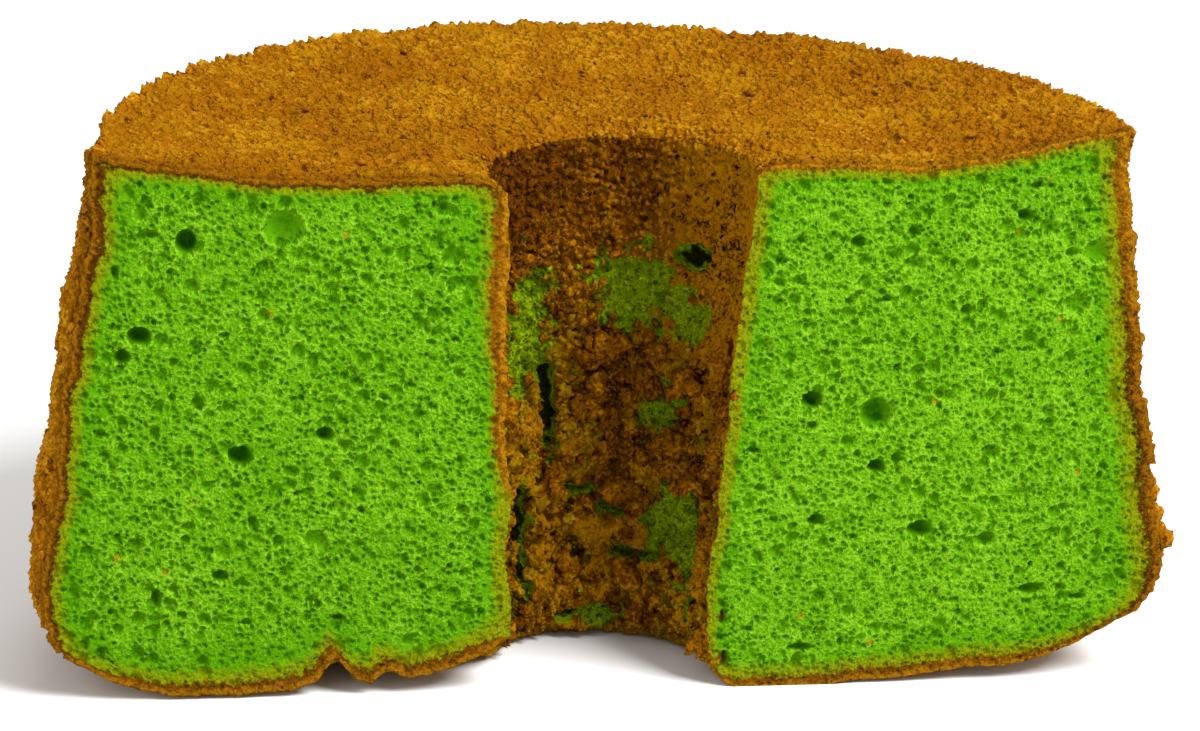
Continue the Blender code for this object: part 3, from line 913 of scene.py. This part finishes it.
def holeTints(place, fromCut, tints):
    # the hole's wall turns into the top without an edge, and its own browning is uneven; towards
    # its foot it gets painted shade, its right side painted light, and its pits painted shade that
    # is stronger higher up
    creviceShade, body, high = tints
    height = place.axis(2) + (place.noise(5, 2.0) - 0.5) * 12
    sideways, wavy = place.axis(0), place.noise(2.5, 2.0)
    lip, lowLip = holeMarks["lip"], holeMarks["lowLip"]
    atLip = sideways.between(*lip["sideways"]) * (fromCut + wavy * 3).between(*lip["fromCut"])
    rim = height.between(*holeMarks["rim"]).most(atLip)
    low = height.between(*holeMarks["low"])
    golden = place.noise(5, 3.0).between(0.50, 0.64) * low * 0.6
    olive = place.moved((31.0, 7.0, 3.0)).noise(8, 3.0).between(0.50, 0.64) * low * 0.6
    body = olive.blend(golden.blend(body, crustColours["golden"]), crustColours["olive"])
    # painted shade towards the foot of the hole
    body = body.scaled(1 - height.between(*holeMarks["foot"]) * 0.2)
    at = holeMarks["upper"]
    upper = height.between(*at["height"]) * sideways.between(*at["sideways"]) * 0.9
    body = upper.blend(body, crustColours["upper"])
    high = upper.blend(high, crustColours["upperHigh"])
    # painted light: the right side of the hole's wall is lightened
    at = holeMarks["side"]
    side = sideways.between(*at["sideways"]) * height.between(*at["height"]) * 0.85
    body = side.blend(body, crustColours["side"])
    tints = [rim.blend(own, top) for own, top in zip((creviceShade, body, high), crustColours["top"])]
    atLowLip = (sideways.between(*lowLip["sideways"])
                * (fromCut + wavy * 5).between(*lowLip["fromCut"]))
    atLowLip = atLowLip * height.between(*lowLip["top"]) * height.between(*lowLip["base"])
    # the pits' painted shade is stronger higher up and weaker at the rim
    deeper = height.between(*holeMarks["pits"]) * 0.35
    return tints, (0.75 + deeper, 1 - rim * 0.7), atLowLip


def crustLook(name, kind):
    tints, tornSurface = crustColours[kind], kind == "hole"
    material, shader, place = startMaterial(name)
    fromCut = attribute(place, "fromCut")
    lump, pits = suede(place), pitted(place)
    fine = place.noise(0.5, 3.0)
    broad = place.noise(24, 3.0).between(0.3, 0.7) - 0.5
    tone = lump * 0.32 + place.noise(2.6, 4.0) * 0.4 + (fine - 0.5) * crustMarks["fine"][kind]
    tone = (tone + 0.15 + broad * 0.2 - 0.5) * crustMarks["contrast"][kind] + 0.5
    if tornSurface:
        # painted highlight on the flaps and clumps that stand out, painted shade where the wall is
        # torn between them
        tone = tone + (attribute(place, "stand").between(-1.6, 2.2) - 0.42) * 0.55
        (creviceShade, body, high), pitShares, atLowLip = holeTints(place, fromCut, tints)
        for share in pitShares:
            pits = pits * share
    else:
        creviceShade, body, high = tints
        gilded = place.noise(13, 3.0).between(0.48, 0.68) * crustMarks["gilding"][kind]
        body = gilded.blend(body, crustColours["yellow"])
    # painted highlight on the lumps, and painted shade in the crevices and pits
    raised = tone.between(0.52, 0.80).blend(body, high)
    tone = tone - pits * crustMarks["pits"][kind]
    colour = tone.between(*crustMarks["dark"][kind]).blend(creviceShade, raised)
    # painted shade: a ragged band of crust next to the cut is darkened where it rounds down to the
    # cut face
    reach, least = crustMarks["edge"][kind]
    ragged = fromCut + (place.noise(1.8, 3.0) - 0.5) * reach
    colour = colour.scaled(ragged.between(0, reach) * (1 - least) + least)
    relief = lump * 0.6 + fine * 0.7 - pits * 0.5
    relief = relief + place.noise(3.4, 3.0) * crustMarks["waves"][kind]
    if tornSurface:
        torn = attribute(place, "torn")
        ragged = (place.noise(2.2, 4.0) - 0.5) * 1.3 + (place.noise(0.7, 3.0) - 0.5) * 0.9
        mask = (torn + ragged).between(0.1, 0.85) * 0.9
        # the torn crumb gets pores of painted shade, ridges of painted highlight and a little
        # painted shade all over
        green, pore, openRelief = crumbColour(place, 0.1, *crustColours["torn"])
        colour = mask.blend((atLowLip * 0.85).blend(colour, crustColours["lowLip"]), green)
        relief = relief * (1 - mask) + openRelief * mask
        # painted shade: the deepest torn places turn nearly black
        colour = torn.between(*holeMarks["hollow"]).blend(colour, crustColours["hollow"])
    finishMaterial(place, shader, colour, 0.85 - lump * 0.1, relief, 0.8)
    return material


def bitLook(name, colours):
    dark, body, light = colours
    material, shader, place = startMaterial(name)
    tone = place.noise(0.8, 3.0) * 0.6 + place.noise(5.0, 2.0) * 0.4
    colour = tone.between(0.35, 0.52).blend(dark, tone.between(0.5, 0.68).blend(body, light))
    finishMaterial(place, shader, colour, 0.7 + tone * 0.15, place.noise(0.4, 2.0), 0.2)
    return material


def dress(piece, material):
    piece.data.materials.clear()
    piece.data.materials.append(material)
    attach(piece, "root")
    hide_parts("sponge_cake")


openCrumb = crumbLook("openCrumb")
for piece in (leftCut, rightCut):
    dress(piece, openCrumb)
for kind, name, pieces in (("top", "brownedTop", top), ("wall", "brownedWall", wall),
                           ("hole", "holeCrust", hole), ("underside", "brownedUnderside", base)):
    look = crustLook(name, kind)
    for piece in pieces:
        dress(piece, look)
dress(crustBits, bitLook("crustCrumb", crustColours["crumb"]))
holeCrumbLook = bitLook("holeCrumb", crustColours["hole"])
for piece in (holeBits, holeClumps):
    dress(piece, holeCrumbLook)
dress(goldenBits, bitLook("goldenFlake", crustColours["flake"]))
dress(greenBits, bitLook("spongeCrumb", crustColours["torn"]))
print("materials made")

# floor, light and camera
studio = {
    "floor": 6.0,
    "floorColour": (0.86, 0.86, 0.85),
    "floorMottle": 1.02,  # the paler patches of the floor
    "sky": 0.5,
    # (place, size, power) of each soft light
    "lights": (((0.75, -0.75, 1.3), 0.7, 40.0), ((-1.2, -1.0, 0.9), 1.2, 8.0),
               ((0.2, 0.9, 1.3), 0.9, 6.0)),
    "target": (0.0, 0.0, 0.05),
    "focal": 96.06,  # on a sensor 36 mm wide
    "cameraPlace": (-131.1, -581.2, 249.6),  # in the ring's millimetres
    "pitch": 17.33,
    "turn": 12.6,
    "roll": 2.85,  # all three in degrees
}
bpy.ops.mesh.primitive_plane_add(size=studio["floor"], location=(0, 0, 0))
floor = bpy.context.object
floor.name = "floor"
bpy.ops.object.transform_apply(location=True, rotation=True, scale=True)
floorMaterial, shader, place = startMaterial("paleFloor")
shade = place.noise(300, 2.0).between(0.3, 0.7)
pale = studio["floorColour"]
colour = shade.blend(pale, tuple(c * studio["floorMottle"] for c in pale))
finishMaterial(place, shader, colour, 0.6 + shade * 0.05, place.noise(2.0, 2.0), 0.02)
floor.data.materials.append(floorMaterial)

world = bpy.data.worlds.new("softSky")
bpy.context.scene.world = world
world.use_nodes = True
sky = next(node for node in world.node_tree.nodes if node.type == "BACKGROUND")
sky.inputs["Color"].default_value = (1, 1, 1, 1)
sky.inputs["Strength"].default_value = studio["sky"]
for place, size, power in studio["lights"]:
    bpy.ops.object.light_add(type="AREA", location=place)
    lamp = bpy.context.object
    lamp.data.size, lamp.data.energy = size, power
    towards = Vector(studio["target"]) - Vector(place)
    lamp.rotation_euler = towards.to_track_quat("-Z", "Y").to_euler()

# the camera is placed by the ring's axis, and leans as the cake does
lean = Matrix.Rotation(math.radians(form["lean"]), 4, "Y").inverted()
aim = Matrix.Rotation(math.radians(-studio["turn"]), 4, "Z")
aim = aim @ Matrix.Rotation(math.radians(90 - studio["pitch"]), 4, "X")
aim = aim @ Matrix.Rotation(math.radians(studio["roll"]), 4, "Z")
spot = (lean @ Vector(studio["cameraPlace"]) + Vector(form["axis"])) * mm
bpy.ops.object.camera_add()
camera = bpy.context.object
camera.matrix_world = Matrix.Translation(spot) @ lean @ aim
camera.data.lens, camera.data.sensor_width = studio["focal"], 36.0
camera.data.clip_start = 0.01
bpy.context.scene.camera = camera
bpy.context.scene.view_settings.view_transform = "Standard"
print("stage set")
